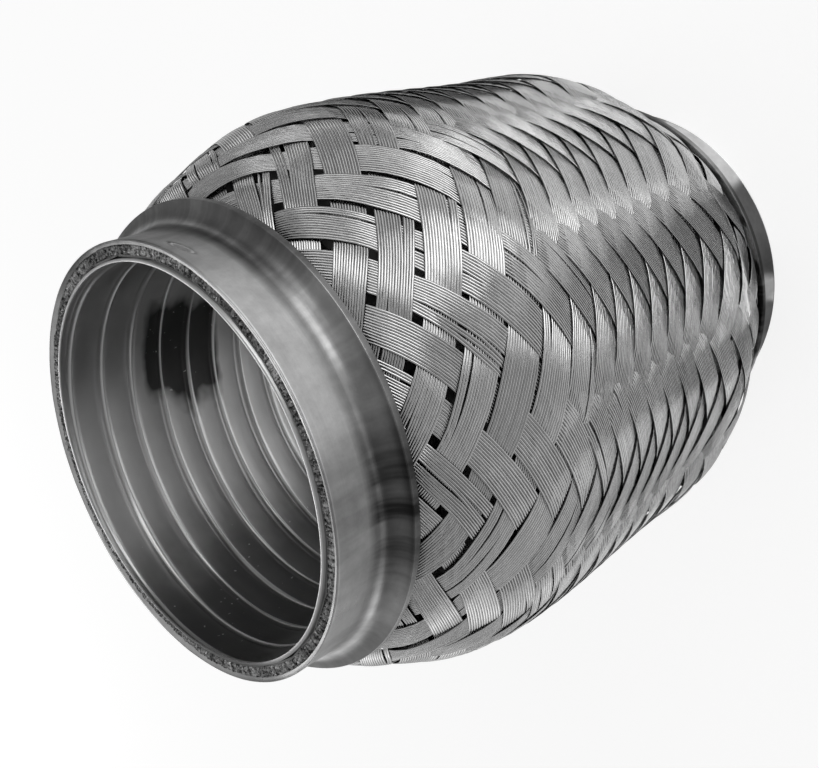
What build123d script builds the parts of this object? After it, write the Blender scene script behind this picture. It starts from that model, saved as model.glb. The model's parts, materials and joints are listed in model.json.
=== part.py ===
from build123d import *
from math import cos, pi, sin, tan
import os

# Exhaust flex pipe. A woven steel sleeve lies over a pleated bellows, the bellows over a wound
# interlock liner, and a pressed collar is clamped round each end. Sizes are in millimetres.
# The pipe stands on its rear end: +Z runs along its axis to the front opening, and the origin
# is the middle of the rear end face.

# Driving sizes of the whole pipe
overall_length = 100.0
bore_diameter = 51.5
collar_wall = 1.0
fit = 0.05  # play between one layer and the next inside a collar

# Collars
collar_length = 9.0  # end face to the face of the flange
collar_flare = 2.95  # how far the flange stands out from the collar

# Interlock liner
liner_wall = 0.5
liner_mouth = 9.0  # smooth stretch at each end
strip_pitch = 4.8  # one turn of the wound strip
strip_step = 0.2  # how far a strip's far edge lies outside the next one's near edge
liner_sides = 32

# Bellows
bellows_wall = 0.25
bellows_recess = 0.4  # its ends lie inside the collars' ends
bellows_cuff = 19.0  # straight stretch at each end
fold_count = 7
fold_root_gap = 1.7  # liner to the foot of a fold
fold_top_gap = 0.6  # crest of a fold to the sleeve
bellows_sides = 24

# Woven sleeve: points of its course, by how far they lie past a collar and above it
sleeve_recess = 0.7  # its ends lie inside the collars' ends
lip = 0.8
lip_rise = 0.15  # it still lies in the flange's bend there
front_neck = 4.1
front_neck_rise = 3.95
front_shoulder = 9.8
front_shoulder_rise = 6.95
front_turn = 16.3
front_turn_rise = 9.75
front_swell = 24.5
front_swell_rise = 10.75
middle_rise = 10.1
rear_swell = 24.8
rear_swell_rise = 9.55
rear_turn = 16.6
rear_turn_rise = 8.65
rear_shoulder = 10.0
rear_shoulder_rise = 5.05
rear_neck = 4.3
rear_neck_rise = 3.35

# Weave: ribbons of parallel wires, each over two and under two
ribbons_each_way = 24
crossing_rows = 32
ribbon_depth = 0.55  # height of a ribbon's free edge over the one beside it
sleeve_wall = 0.34  # under the ribbons' low edges
first_angle = 23.0  # degrees, where the first ribbon crossing stands
crowding = 0.23  # how much closer the rows lie at mid length than at the ends
lean = 0.05  # how far the closest rows lie towards the front
gap_rows = (3,)  # rows, counted from each end, where the ribbons leave open gaps
gap_share = 0.3  # part of a crossing's edge that a gap takes outside
gap_share_inside = 0.36
inside_flat = 5  # rows that one flat of the sleeve's inside spans

# Radii worked out from the bore, one layer on the next
bore_radius = bore_diameter / 2
liner_radius = bore_radius + liner_wall


def around(radius, sides):
    """Corner radius of a regular polygon whose flats touch a circle."""
    return radius / cos(pi / sides)


bellows_inner = around(liner_radius + fit, bellows_sides)
bellows_radius = bellows_inner + bellows_wall
sleeve_inner = around(bellows_radius + fit, ribbons_each_way)
sleeve_radius = sleeve_inner + sleeve_wall
collar_inner = sleeve_radius + fit
collar_radius = collar_inner + collar_wall
flange_radius = collar_radius + collar_flare

# A collar's bend is a coned step between the bend's tangents, outside and inside the sheet
bend_start = collar_length - collar_flare
bend_outer = collar_flare * tan(pi / 8)
bend_inner = (collar_flare + collar_wall) * tan(pi / 8)
collar_hold = bend_start + bend_inner  # straight stretch that holds the sleeve


def solid_of(outlines):
    """Closed solid whose skin is a set of flat polygons."""
    return Solid(Shell([Face(Wire.make_polygon(points)) for points in outlines]))


def ring(radius, height, sides):
    """Corners of a level regular polygon."""
    turns = [2 * pi * i / sides for i in range(sides)]
    return [Vector(radius * cos(turn), radius * sin(turn), height) for turn in turns]


def band(lower, upper):
    """Four-cornered faces between two rings of as many corners."""
    count = len(lower)
    return [
        [lower[i], lower[(i + 1) % count], upper[(i + 1) % count], upper[i]]
        for i in range(count)
    ]


def turned(points):
    """Ring turned from a closed outline of radii and heights."""
    with BuildPart() as part:
        with BuildSketch(Plane.XZ):
            with BuildLine():
                Polyline(points, close=True)
            make_face()
        revolve(axis=Axis.Z)
    return part.part


# Collar: a ring with its inner end bent out into a flange
def end_collar():
    back = collar_length + collar_wall
    return turned([
        (collar_radius, 0),
        (collar_radius, bend_start + bend_outer),
        (flange_radius - bend_outer, collar_length),
        (flange_radius, collar_length),
        (flange_radius, back),
        (flange_radius - bend_inner, back),
        (collar_inner, collar_hold),
        (collar_inner, 0),
    ])


# Liner: strip wound turn on turn, so that its bore is a row of shallow steps between round mouths
def interlock_liner():
    stepped = overall_length - 2 * liner_mouth
    turns = round(stepped / strip_pitch)
    pitch = stepped / turns
    near = around(bore_radius, liner_sides)
    far = around(bore_radius + strip_step, liner_sides)
    rings = []
    for turn in range(turns):
        start = liner_mouth + turn * pitch
        rings += [ring(far, start, liner_sides), ring(near, start + pitch, liner_sides)]
    faces = [rings[0], rings[-1]]
    for lower, upper in zip(rings, rings[1:]):
        faces += band(lower, upper)
    tube = Cylinder(liner_radius, overall_length, align=(Align.CENTER, Align.CENTER, Align.MIN))
    mouth = Cylinder(bore_radius, liner_mouth, align=(Align.CENTER, Align.CENTER, Align.MIN))
    far_mouth = Pos(0, 0, overall_length - liner_mouth) * mouth
    return tube - mouth - far_mouth - solid_of(faces)


# Course of the sleeve's low edges, from the front collar down to the rear one
def sleeve_course():
    front_points = [
        (lip, lip_rise),
        (front_neck, front_neck_rise),
        (front_shoulder, front_shoulder_rise),
        (front_turn, front_turn_rise),
        (front_swell, front_swell_rise),
    ]
    rear_points = [
        (rear_swell, rear_swell_rise),
        (rear_turn, rear_turn_rise),
        (rear_shoulder, rear_shoulder_rise),
        (rear_neck, rear_neck_rise),
        (lip, lip_rise),
    ]
    return Spline(
        (sleeve_radius, overall_length - collar_hold),
        *[(collar_radius + rise, overall_length - collar_length - past) for past, rise in front_points],
        (collar_radius + middle_rise, overall_length / 2),
        *[(collar_radius + rise, collar_length + past) for past, rise in rear_points],
        (sleeve_radius, collar_hold),
        tangents=[(0, -1), (0, -1)],
        tangent_scalars=[1, 1],
    )


course = sleeve_course()
last_row = crossing_rows + 1
weave_rows = range(last_row + 1)
open_rows = [row for gap in gap_rows for row in (gap, last_row - gap)]
inside_reach = max(gap_rows) + 1  # rows from each end where the sleeve's inside is fine


def course_at(row):
    """Point of the course at a row of the weave, and its outward direction."""
    half = last_row / 2
    x = (row - half) / half
    share = (1 + (1 - crowding) * x + crowding * x**3 + lean * (x * x - 1)) / 2
    along = course % share
    return course @ share, Vector(-along.Y, along.X)


places = [course_at(row) for row in weave_rows]


def lattice_point(row, step, lift):
    """Corner of the weave: row by row down the sleeve, half a ribbon at a time round it."""
    point, outward = places[row]
    angle = first_angle * pi / 180 - pi * step / ribbons_each_way
    radius = point.X + lift * outward.X
    return Vector(radius * cos(angle), radius * sin(angle), point.Y + lift * outward.Y)


def ribbon_lift(crossing, corner):
    """A ribbon is high along its front edge, and low where the next one tucks its other edge in."""
    row, step = corner
    if row in (0, last_row):
        return 0.0
    front = (crossing[0] - 1, crossing[1])
    side = 1 if crossing[1] % 4 < 2 else -1
    return ribbon_depth if corner in (front, (crossing[0], crossing[1] + side)) else 0.0


def inside_lift(crossing, corner):
    """The inside is even, whichever ribbon lies on top."""
    return -sleeve_wall


def inside_flats():
    """Rows between which the middle of the sleeve's inside is flat."""
    return [*range(inside_reach, last_row - inside_reach, inside_flat), last_row - inside_reach]


def crossing_outline(crossing, rows, lift_of, share):
    """Outline of one crossing, its corners cut off where they lie in a gap."""
    row, step = crossing
    corners = [(row - 1, step), (row, step - 1), (row + 1, step), (row, step + 1)]
    corners = [corner for corner in corners if corner[0] in rows]
    points = [lattice_point(*corner, lift_of(crossing, corner)) for corner in corners]
    outline, cuts = [], {}
    for i, corner in enumerate(corners):
        here, before, after = points[i], points[i - 1], points[(i + 1) % len(points)]
        if corner[0] in open_rows:
            cuts[corner] = [here + (before - here) * share, here + (after - here) * share]
            outline += cuts[corner]
        else:
            start = len(outline)
            outline.append(here)
    return outline[start:] + outline[:start], cuts


def fan(outline):
    """Triangles that fill an outline from its first point."""
    return [[outline[0], outline[i], outline[i + 1]] for i in range(1, len(outline) - 1)]


def crossings(rows):
    """Every crossing with a corner in these rows."""
    return [(row, step) for row in rows for step in range(row % 2, 2 * ribbons_each_way, 2)]


def edge_point(crossing, start, end):
    """Start of an edge of the weave on one crossing's ribbon, past the gap if there is one."""
    here = lattice_point(*start, ribbon_lift(crossing, start))
    there = lattice_point(*end, ribbon_lift(crossing, end))
    return here + (there - here) * gap_share if start[0] in open_rows else here


def inside_edge_point(start, end):
    """The same point on the sleeve's inside."""
    here = lattice_point(*start, -sleeve_wall)
    return here + (lattice_point(*end, -sleeve_wall) - here) * gap_share_inside


def distinct(points):
    """The points without those that repeat the one before."""
    return [p for i, p in enumerate(points) if (p - points[i - 1]).length > 1e-6]


def ribbon_steps():
    """Upright faces where a high edge stands over a low one, and inside the gaps."""
    faces = []
    for row in range(last_row):
        for step in range((row + 1) % 2, 2 * ribbons_each_way, 2):
            start = (row, step)
            for side in (1, -1):
                end = (row + 1, step + side)
                pair = (row, step + side), (row + 1, step)
                low = [edge_point(pair[0], start, end), edge_point(pair[0], end, start)]
                high = [edge_point(pair[1], start, end), edge_point(pair[1], end, start)]
                faces += fan(distinct([low[0], low[1], high[1], high[0]]))
                for corner, other, i in ((start, end, 0), (end, start, 1)):
                    if corner[0] in open_rows:
                        faces += fan(distinct([low[i], high[i], inside_edge_point(corner, other)]))
    return faces


def gap_faces():
    """Walls of the gaps, from the ribbons through to the sleeve's inside."""
    faces = []
    for row in open_rows:
        for crossing in crossings(range(row - 1, row + 2)):
            outer = crossing_outline(crossing, weave_rows, ribbon_lift, gap_share)[1]
            inner = crossing_outline(crossing, weave_rows, inside_lift, gap_share_inside)[1]
            for corner in outer:
                if corner[0] == row:
                    faces += fan([*outer[corner], *reversed(inner[corner])])
    return faces


def inside_faces():
    """The sleeve's inside: fine by the gaps, and in longer flats between them."""
    faces = []
    for rows in (range(inside_reach + 1), range(last_row - inside_reach, last_row + 1)):
        for crossing in crossings(rows):
            faces += fan(crossing_outline(crossing, rows, inside_lift, gap_share_inside)[0])
    flats = inside_flats()
    for row, next_row in zip(flats, flats[1:]):
        turn = (next_row - row) % 2
        for step in range((row + 1) % 2, 2 * ribbons_each_way, 2):
            upper = [lattice_point(row, step + 2 * i, -sleeve_wall) for i in (0, 1)]
            lower = [lattice_point(next_row, step + turn + 2 * i, -sleeve_wall) for i in (0, 1)]
            faces += [[upper[0], upper[1], lower[0]], [upper[1], lower[1], lower[0]]]
    return faces


def cuff_faces(row, end):
    """Straight cuff from the weave's end row to the sleeve's end."""
    steps = range((row + 1) % 2, 2 * ribbons_each_way, 2)
    outer = [lattice_point(row, step, 0.0) for step in steps]
    inner = [lattice_point(row, step, -sleeve_wall) for step in steps]
    flat = [Vector(p.X, p.Y, 0) for p in outer]
    outer_end = [p + Vector(0, 0, end) for p in flat]
    inner_end = [p * (sleeve_inner / sleeve_radius) + Vector(0, 0, end) for p in flat]
    return band(outer, outer_end) + band(outer_end, inner_end) + band(inner_end, inner)


# Sleeve: ribbons two over and two under, as one woven wall with open gaps by the collars
def woven_sleeve():
    faces = ribbon_steps() + gap_faces() + inside_faces()
    for crossing in crossings(weave_rows):
        faces += fan(crossing_outline(crossing, weave_rows, ribbon_lift, gap_share)[0])
    faces += cuff_faces(0, overall_length - sleeve_recess)
    faces += cuff_faces(last_row, sleeve_recess)
    return solid_of(faces)


# Bellows: thin tube folded into rings, between the liner and the sleeve
def pleated_bellows():
    pitch = (overall_length - 2 * bellows_cuff) / fold_count
    crests = [bellows_cuff + (i + 0.5) * pitch for i in range(fold_count)]
    root = liner_radius + fold_root_gap
    room = min(sleeve_room(height) for height in crests) - fold_top_gap
    profile = [(bellows_radius, bellows_recess), (bellows_radius, bellows_cuff)]
    for height in crests:
        profile += [(room, height), (root, height + pitch / 2)]
    profile[-1] = (bellows_radius, overall_length - bellows_cuff)
    profile.append((bellows_radius, overall_length - bellows_recess))
    outer = [ring(radius, height, bellows_sides) for radius, height in profile]
    inner = [ring(radius - bellows_wall, height, bellows_sides) for radius, height in profile]
    faces = band(outer[0], inner[0]) + band(outer[-1], inner[-1])
    for rings in (outer, inner):
        for lower, upper in zip(rings, rings[1:]):
            faces += band(lower, upper)
    return solid_of(faces)


def sleeve_room(height):
    """Radius inside the sleeve at a height, where a flat of its wall comes closest to the axis."""
    rows = [*range(inside_reach), *inside_flats(), *range(last_row - inside_reach + 1, last_row + 1)]
    points = [point - outward * sleeve_wall for point, outward in (places[row] for row in rows)]
    for above, below in zip(points, points[1:]):
        if above.Y >= height >= below.Y:
            share = (above.Y - height) / (above.Y - below.Y)
            return (above.X + share * (below.X - above.X)) * cos(pi / ribbons_each_way)


rear = end_collar()
nodes = {
    "rear_collar": rear,
    "front_collar": Pos(0, 0, overall_length) * Rot(180, 0, 0) * rear,
    "interlock_liner": interlock_liner(),
    "pleated_bellows": pleated_bellows(),
    "woven_sleeve": woven_sleeve(),
}
os.makedirs("parts", exist_ok=True)
for name, solid in nodes.items():
    export_step(solid, f"parts/{name}.step")
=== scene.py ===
import bpy
import bmesh
import json
import math
import numpy as np
from mathutils import Euler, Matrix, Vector


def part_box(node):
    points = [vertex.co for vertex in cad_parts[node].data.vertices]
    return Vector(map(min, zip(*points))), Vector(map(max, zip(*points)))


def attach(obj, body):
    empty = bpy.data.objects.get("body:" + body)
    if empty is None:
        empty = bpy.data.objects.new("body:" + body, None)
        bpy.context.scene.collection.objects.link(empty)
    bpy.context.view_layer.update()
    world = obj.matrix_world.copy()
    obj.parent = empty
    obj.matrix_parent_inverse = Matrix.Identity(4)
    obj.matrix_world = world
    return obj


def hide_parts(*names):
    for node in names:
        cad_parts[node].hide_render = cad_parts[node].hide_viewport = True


# Dresses the exhaust flex pipe: woven wire ribbons, pressed collars and a wound liner.
# Shapes are worked out in millimetres and go into the meshes in metres. The pipe stands on its
# rear end, z runs up its axis, and "down" is the distance from the front end face.
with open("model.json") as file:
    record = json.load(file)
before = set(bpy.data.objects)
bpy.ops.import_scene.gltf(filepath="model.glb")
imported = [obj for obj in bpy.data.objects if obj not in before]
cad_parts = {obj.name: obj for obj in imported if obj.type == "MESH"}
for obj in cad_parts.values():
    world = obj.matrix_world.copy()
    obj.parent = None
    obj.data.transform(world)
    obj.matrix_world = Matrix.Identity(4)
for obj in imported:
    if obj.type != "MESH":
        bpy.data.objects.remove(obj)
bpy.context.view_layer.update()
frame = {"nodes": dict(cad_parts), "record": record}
mm = 0.001

mounts = {mount["name"]: mount for mount in frame["record"]["mounts"]}
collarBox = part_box("front_collar")
pipe = {
    "length": collarBox[1].z / mm,
    "bore": mounts["front_bore"]["dims"]["r_mm"],
    "collarRadius": mounts["front_spigot"]["dims"]["r_mm"],
    "flangeRadius": collarBox[1].x / mm,
    "collarHeight": (collarBox[1].z - collarBox[0].z) / mm,
}
print("frame loaded, the pipe is", round(pipe["length"], 2), "mm long")


# Puts an object into the scene.
def show(thing):
    bpy.context.scene.collection.objects.link(thing)


# Faces of a grid of points, one between each four neighbours. A closed grid also joins the last
# column to the first, and a joined one the last row.
def gridFaces(rows, columns, closed=False, joined=False):
    index = np.arange(rows * columns).reshape(rows, columns)
    if closed:
        index = np.concatenate([index, index[:, :1]], axis=1)
    if joined:
        index = np.concatenate([index, index[:1]])
    corners = [index[:-1, :-1], index[:-1, 1:], index[1:, 1:], index[1:, :-1]]
    return np.stack(corners, axis=-1).reshape(-1, 4)


# Mesh object from points in mm and arrays of faces, each array holding faces of one size.
def addPiece(name, points, faceSets, finish, nodeName, uv=None):
    mesh = bpy.data.meshes.new(name)
    mesh.vertices.add(len(points))
    mesh.vertices.foreach_set("co", (points * mm).astype(np.float32).ravel())
    corners = np.concatenate([faces.ravel() for faces in faceSets]).astype(np.int32)
    sizes = np.concatenate([np.full(len(faces), faces.shape[1]) for faces in faceSets])
    starts = np.concatenate([[0], np.cumsum(sizes)[:-1]]).astype(np.int32)
    mesh.loops.add(len(corners))
    mesh.loops.foreach_set("vertex_index", corners)
    mesh.polygons.add(len(sizes))
    mesh.polygons.foreach_set("loop_start", starts)
    mesh.update(calc_edges=True)
    mesh.polygons.foreach_set("use_smooth", np.ones(len(sizes), bool))
    if uv is not None:
        layer = mesh.uv_layers.new(name="along")
        layer.data.foreach_set("uv", uv[corners].astype(np.float32).ravel())
    mesh.validate()
    mesh.update()
    piece = bpy.data.objects.new(name, mesh)
    show(piece)
    mesh.materials.append(finish)
    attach(piece, "root")
    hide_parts(nodeName)
    return piece


# Welds points that coincide, then turns the faces of the closed shell outwards.
def weld(piece, distance=0.002):
    shell = bmesh.new()
    shell.from_mesh(piece.data)
    bmesh.ops.remove_doubles(shell, verts=shell.verts, dist=distance * mm)
    bmesh.ops.recalc_face_normals(shell, faces=shell.faces)
    for face in shell.faces:
        face.smooth = True
    shell.to_mesh(piece.data)
    shell.free()


# Points in rows round the axis, from radius, angle and height.
def roundPoints(radius, angle, height):
    return np.stack([radius * np.cos(angle), radius * np.sin(angle), height], axis=-1)


# Adds a closed outline carried round the axis, from its points' radius and distance down at each
# angle. For a rear piece that distance is counted up from the rear end.
def addRound(name, radius, down, angle, front, finish, nodeName):
    height = pipe["length"] - down if front else down
    piece = addPiece(name, roundPoints(radius, angle, height).reshape(-1, 3),
                     [gridFaces(*radius.shape, closed=True, joined=True)], finish, nodeName)
    weld(piece)


# Slow ripple round a circle: a sum of sines with whole numbers of waves, between -1 and 1.
def ripple(angle, seed, waves=(2, 3, 5, 8, 13)):
    chance = np.random.default_rng(seed)
    weights = [1 / math.sqrt(wave) for wave in waves]
    total = 0
    for wave, weight in zip(waves, weights):
        total = total + weight * np.sin(wave * angle + chance.uniform(0, 2 * np.pi))
    return total / sum(weights)


# Smooth step from 0 at one value to 1 at another: 3t^2 - 2t^3.
def ease(value, start, end):
    t = np.clip((value - start) / (end - start), 0, 1)
    return t * t * (3 - 2 * t)


# 1 along the middle of a span and 0 at both its ends: the smooth step up times the one down.
def middleOf(value, span, start, end):
    return ease(value, start, end) * ease(span - value, start, end)


# Makes a shader node, sets its properties, and feeds its inputs with values or nodes' outputs.
def addNode(tree, kind, feeds={}, **properties):
    node = tree.nodes.new("ShaderNode" + kind)
    for key, value in properties.items():
        setattr(node, key, value)
    for key, value in feeds.items():
        if isinstance(value, bpy.types.NodeSocket):
            tree.links.new(value, node.inputs[key])
        else:
            node.inputs[key].default_value = value
    return node


# One step of arithmetic on numbers: first operation second.
def calc(tree, operation, first, second=0.0):
    return addNode(tree, "Math", {0: first, 1: second}, operation=operation).outputs[0]


# Product of two numbers.
def times(tree, first, second):
    return calc(tree, "MULTIPLY", first, second)


# One step of arithmetic on vectors: a vector, or a number for a length or product.
def calcVector(tree, operation, feeds):
    node = addNode(tree, "VectorMath", feeds, operation=operation)
    return node.outputs["Value" if operation in ("LENGTH", "DOT_PRODUCT") else "Vector"]


# Vector from its three numbers, 0 where one isn't given.
def combine(tree, **feeds):
    return addNode(tree, "CombineXYZ", feeds).outputs[0]


# The three numbers of a vector.
def separate(tree, vector):
    return addNode(tree, "SeparateXYZ", {0: vector}).outputs


noiseSpan = (0.3, 0.7)  # nearly all values of a noise lie between these
pairSpan = (0.6, 1.4)  # and those of two noises added


# Straight line from one span of values to another, held at its ends.
def spread(tree, value, low, high, toLow, toHigh):
    feeds = {"Value": value, "From Min": low, "From Max": high, "To Min": toLow, "To Max": toHigh}
    return addNode(tree, "MapRange", feeds).outputs["Result"]


# Straight line from one value at 0 to another at 1.
def blend(tree, share, start, end):
    return spread(tree, share, 0.0, 1.0, start, end)


# Noise between 0 and 1: octaves of random values, each finer one weaker by the roughness.
def grain(tree, vector, scale, detail=2.0, roughness=0.5):
    feeds = {"Vector": vector, "Scale": scale, "Detail": detail, "Roughness": roughness}
    return addNode(tree, "TexNoise", feeds).outputs["Fac"]


# A random value between 0 and 1 for each whole number.
def lottery(tree, number):
    feeds = {"W": number}
    return addNode(tree, "TexWhiteNoise", feeds, noise_dimensions="1D").outputs["Value"]


# Place on the object in m.
def place(tree):
    return addNode(tree, "TexCoord").outputs["Object"]


# Place on a round part without a seam: the direction from the axis, and the height stretched.
def roundPlace(tree, across, up):
    x, y, z = separate(tree, place(tree))
    unit = calcVector(tree, "NORMALIZE", {0: combine(tree, X=x, Y=y)})
    side = calcVector(tree, "SCALE", {0: unit, "Scale": across})
    high = combine(tree, Z=times(tree, z, up))
    return calcVector(tree, "ADD", {0: side, 1: high})


# Direction from the axis, swayed by coloured noise less its mean, and made one unit long again.
def swayedAround(tree, across, up, amount):
    feeds = {"Vector": roundPlace(tree, across, up), "Scale": 1.0, "Detail": 3.0}
    noise = addNode(tree, "TexNoise", feeds).outputs["Color"]
    sway = calcVector(tree, "SUBTRACT", {0: noise, 1: (0.5, 0.5, 0.5)})
    sway = calcVector(tree, "SCALE", {0: sway, "Scale": amount})
    around = calcVector(tree, "ADD", {0: roundPlace(tree, 1.0, 0.0), 1: sway})
    return calcVector(tree, "NORMALIZE", {0: around})


# Strength of a patch round one azimuth: 1 in its core, a share of the reach, and 0 at its reach.
# The direction from the axis is compared with the stain's own.
def azimuthShare(tree, direction, azimuth, reach, core=0.25):
    turn = math.radians(azimuth)
    middle = (math.cos(turn), math.sin(turn), 0)
    angle = calc(tree, "ARCCOSINE", calcVector(tree, "DOT_PRODUCT", {0: direction, 1: middle}))
    feeds = {"Value": angle, "From Min": math.radians(reach), "From Max": math.radians(reach * core)}
    return addNode(tree, "MapRange", feeds, interpolation_type="SMOOTHSTEP").outputs["Result"]


# Metal whose tone, roughness and fine relief come from a pattern function.
def metalFinish(name, pattern):
    finish = bpy.data.materials.new(name)
    finish.use_nodes = True
    tree = finish.node_tree
    shader = tree.nodes["Principled BSDF"]
    shader.inputs["Metallic"].default_value = 1.0
    tone, rough, relief, depth = pattern(tree)
    bump = addNode(tree, "Bump", {"Height": relief, "Distance": depth * mm})
    tree.links.new(tone, shader.inputs["Base Color"])
    tree.links.new(rough, shader.inputs["Roughness"])
    tree.links.new(bump.outputs["Normal"], shader.inputs["Normal"])
    return finish


# Camera at the photo's viewing angle.
view = {
    "place": (0.11436005, 0.03207612, 0.16446708),
    "turn": (-25.189096, 43.027416, -17.792999),
    "lens": 47.561758,
    "sensor": 36,
    "clip": (0.01, 20),
}
cameraData = bpy.data.cameras.new("photoCamera")
cameraData.lens, cameraData.sensor_width = view["lens"], view["sensor"]
cameraData.clip_start, cameraData.clip_end = view["clip"]
camera = bpy.data.objects.new("photoCamera", cameraData)
camera.location = view["place"]
camera.rotation_euler = Euler([math.radians(turn) for turn in view["turn"]], "XYZ")
show(camera)
bpy.context.scene.camera = camera
print("camera placed")


# The woven sleeve's course and its ribbons.
sleeve = {
    "radius": 27.4,  # in the collars
    "hold": 7.686,  # straight stretch at each end, down to where the sleeve leaves the collar
    "flangeFace": 9.0,
    "frontCourse": [(0.8, 0.15), (4.1, 3.95), (9.8, 6.95), (16.3, 9.75), (24.5, 10.75)],
    "middleRise": 10.1,
    "rearCourse": [(24.8, 9.55), (16.6, 8.65), (10.0, 5.05), (4.3, 3.35), (0.8, 0.15)],
    "rows": 33,
    "crowding": 0.23,
    "lean": 0.05,
    "firstAngle": 23.0,
    "stepAngle": 7.5,
    "slant": 2.56,  # mm, how far the rows lean down one side
    "slantAngle": 9.0,
    "slantRows": ((3, 7, 11, 22, 33), (0, 0.5, 1, 1, 0)),  # share of the slant at these rows
    "barrelRows": (5, 11),  # rows from each end over which the weave closes up
    "leaving": (-1, 3),  # mm along the course over which the ribbons rise from their cuff
    "waveSteepness": 2.2,
    "samples": 4000,
    "cuffSamples": 40,
}
ribbon = {
    "wires": 13,
    "wirePitch": 0.30,
    "profile": ((0.15, 0.0), (0.122, 0.06), (0.0, 0.08), (-0.122, 0.06), (-0.15, 0.0)),
    "underside": 0.03,
    "smoothed": 0.85,  # share of the wires' roundness that is rubbed off on the barrel
    "smoothedRows": (3, 9),
    "shoulder": 0.97,  # where the rubbed wires' flat top ends, as a share of their half width
    "stations": 113,
    "base": (-0.23, 0.155, -0.01),  # mean height over the course: in the cuffs, by them, on the barrel
    "height": (0.15, 0.24, 0.26),  # rise and fall about it
    "tilt": 0.15,  # how far the front edge stands up on the barrel, over the next ribbon's rear edge
    "spreadRows": [3, 5, 8, 12, 21, 25, 28, 30],
    "spread": [0, 0.09, 0.11, 0.10, 0.10, 0.11, 0.09, 0],  # how much wider the ribbons are there
    "crown": 0.06,  # how far the outer wires lie below the middle one
    "wander": 0.14,  # drift of a whole ribbon
    "wanderRate": 0.55,  # radians a row
    "wanderLost": 0.9,  # share of the drift that is missing on the barrel
    "wireWander": 0.007,
    "wireRates": (1.1, 2.3),
    "slit": 0.26,
    "slits": 3,
    "slitRows": 11,  # the slits lie between the front and this row
    "slitLength": 0.9,  # rows to each side
    "slitPlace": 1.4,  # how far off the ribbon's middle one may lie
    "endRecess": 0.42,
    "endStray": (-0.12, 0.3),
    "cut": (1.2, 0.35),  # mm before the cuff's end over which the fray sets in
    "fray": 0.3,  # how far the cut ends stray inwards
    "frayShare": (-0.15, 1),
    "seed": 11,
}


# Smooth line through points: cubic pieces whose slopes make the bend even from one piece to the
# next, with given slopes at its two ends.
def smoothLine(points, firstSlope, lastSlope, samples):
    points = np.asarray(points, float)
    gaps = np.linalg.norm(np.diff(points, axis=0), axis=1)
    rates = np.diff(points, axis=0) / gaps[:, None]
    count = len(points)
    matrix = np.eye(count)
    wanted = np.zeros((count, 2))
    wanted[0], wanted[-1] = firstSlope, lastSlope
    inner = np.arange(1, count - 1)
    matrix[inner, inner - 1] = gaps[1:]
    matrix[inner, inner] = 2 * (gaps[1:] + gaps[:-1])
    matrix[inner, inner + 1] = gaps[:-1]
    wanted[inner] = 3 * (gaps[1:, None] * rates[:-1] + gaps[:-1, None] * rates[1:])
    slopes = np.linalg.solve(matrix, wanted)
    knots = np.concatenate([[0], np.cumsum(gaps)])
    spots = np.linspace(0, knots[-1], samples)
    piece = np.clip(np.searchsorted(knots, spots, "right") - 1, 0, count - 2)
    gap = gaps[piece][:, None]
    t = ((spots - knots[piece]) / gaps[piece])[:, None]
    start, end = points[piece], points[piece + 1]
    startSlope, endSlope = slopes[piece] * gap, slopes[piece + 1] * gap
    return (
        start * (1 + 2 * t) * (1 - t) ** 2 + startSlope * t * (1 - t) ** 2
        + end * t * t * (3 - 2 * t) + endSlope * t * t * (t - 1)
    )


# The sleeve's course as radius and height against the distance along it, from end to end: the
# smooth line, with a straight cuff before and after it. Distance 0 is where the front cuff ends.
def sleeveCourse():
    length, edge = pipe["length"], pipe["collarRadius"]
    hold, face = sleeve["hold"], sleeve["flangeFace"]
    points = [(sleeve["radius"], length - hold)]
    points += [(edge + rise, length - face - past) for past, rise in sleeve["frontCourse"]]
    points += [(edge + sleeve["middleRise"], length / 2)]
    points += [(edge + rise, face + past) for past, rise in sleeve["rearCourse"]]
    points += [(sleeve["radius"], hold)]
    line = smoothLine(points, (0, -1), (0, -1), sleeve["samples"])
    along = np.concatenate([[0], np.cumsum(np.linalg.norm(np.diff(line, axis=0), axis=1))])
    cuff = np.linspace(0.1, hold, sleeve["cuffSamples"])
    straight = np.full(len(cuff), sleeve["radius"])
    radius = np.concatenate([straight, line[:, 0], straight])
    height = np.concatenate([length - hold + cuff[::-1], line[:, 1], hold - cuff])
    distance = np.concatenate([-cuff[::-1], along, along[-1] + cuff])
    slope = np.stack([np.gradient(radius, distance), np.gradient(height, distance)])
    slope /= np.linalg.norm(slope, axis=0)
    return {"distance": distance, "radius": radius, "height": height,
            "outR": -slope[1], "outZ": slope[0], "span": along[-1]}


course = sleeveCourse()


# Distance down the course at a row of crossings: the rows lie closer at mid length than at the
# ends, by a cubic, and go on evenly into the cuffs.
def rowDistance(row):
    half = sleeve["rows"] / 2
    inside = np.clip(row, 0, sleeve["rows"])
    x = (inside - half) / half
    crowding, lean = sleeve["crowding"], sleeve["lean"]
    share = (1 + (1 - crowding) * x + crowding * x**3 + lean * (x * x - 1)) / 2
    endRate = (1 + 2 * crowding + np.sign(x) * 2 * lean) / 2 / half
    return course["span"] * (share + (row - inside) * endRate)


rowTable = np.linspace(-4, sleeve["rows"] + 4, sleeve["samples"])  # well past both ends
distanceTable = rowDistance(rowTable)


# Height above the course of a ribbon that goes over two and under two: a flat-topped wave of
# four crossings, steep between its sides.
def overUnder(crossing):
    steepness = sleeve["waveSteepness"]
    return np.tanh(steepness * np.cos(np.pi / 2 * (crossing - 0.5))) / math.tanh(steepness)


# How much wider than at its ends a ribbon is at a row.
def widthAt(row):
    return 1 + np.interp(row, ribbon["spreadRows"], ribbon["spread"])


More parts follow.
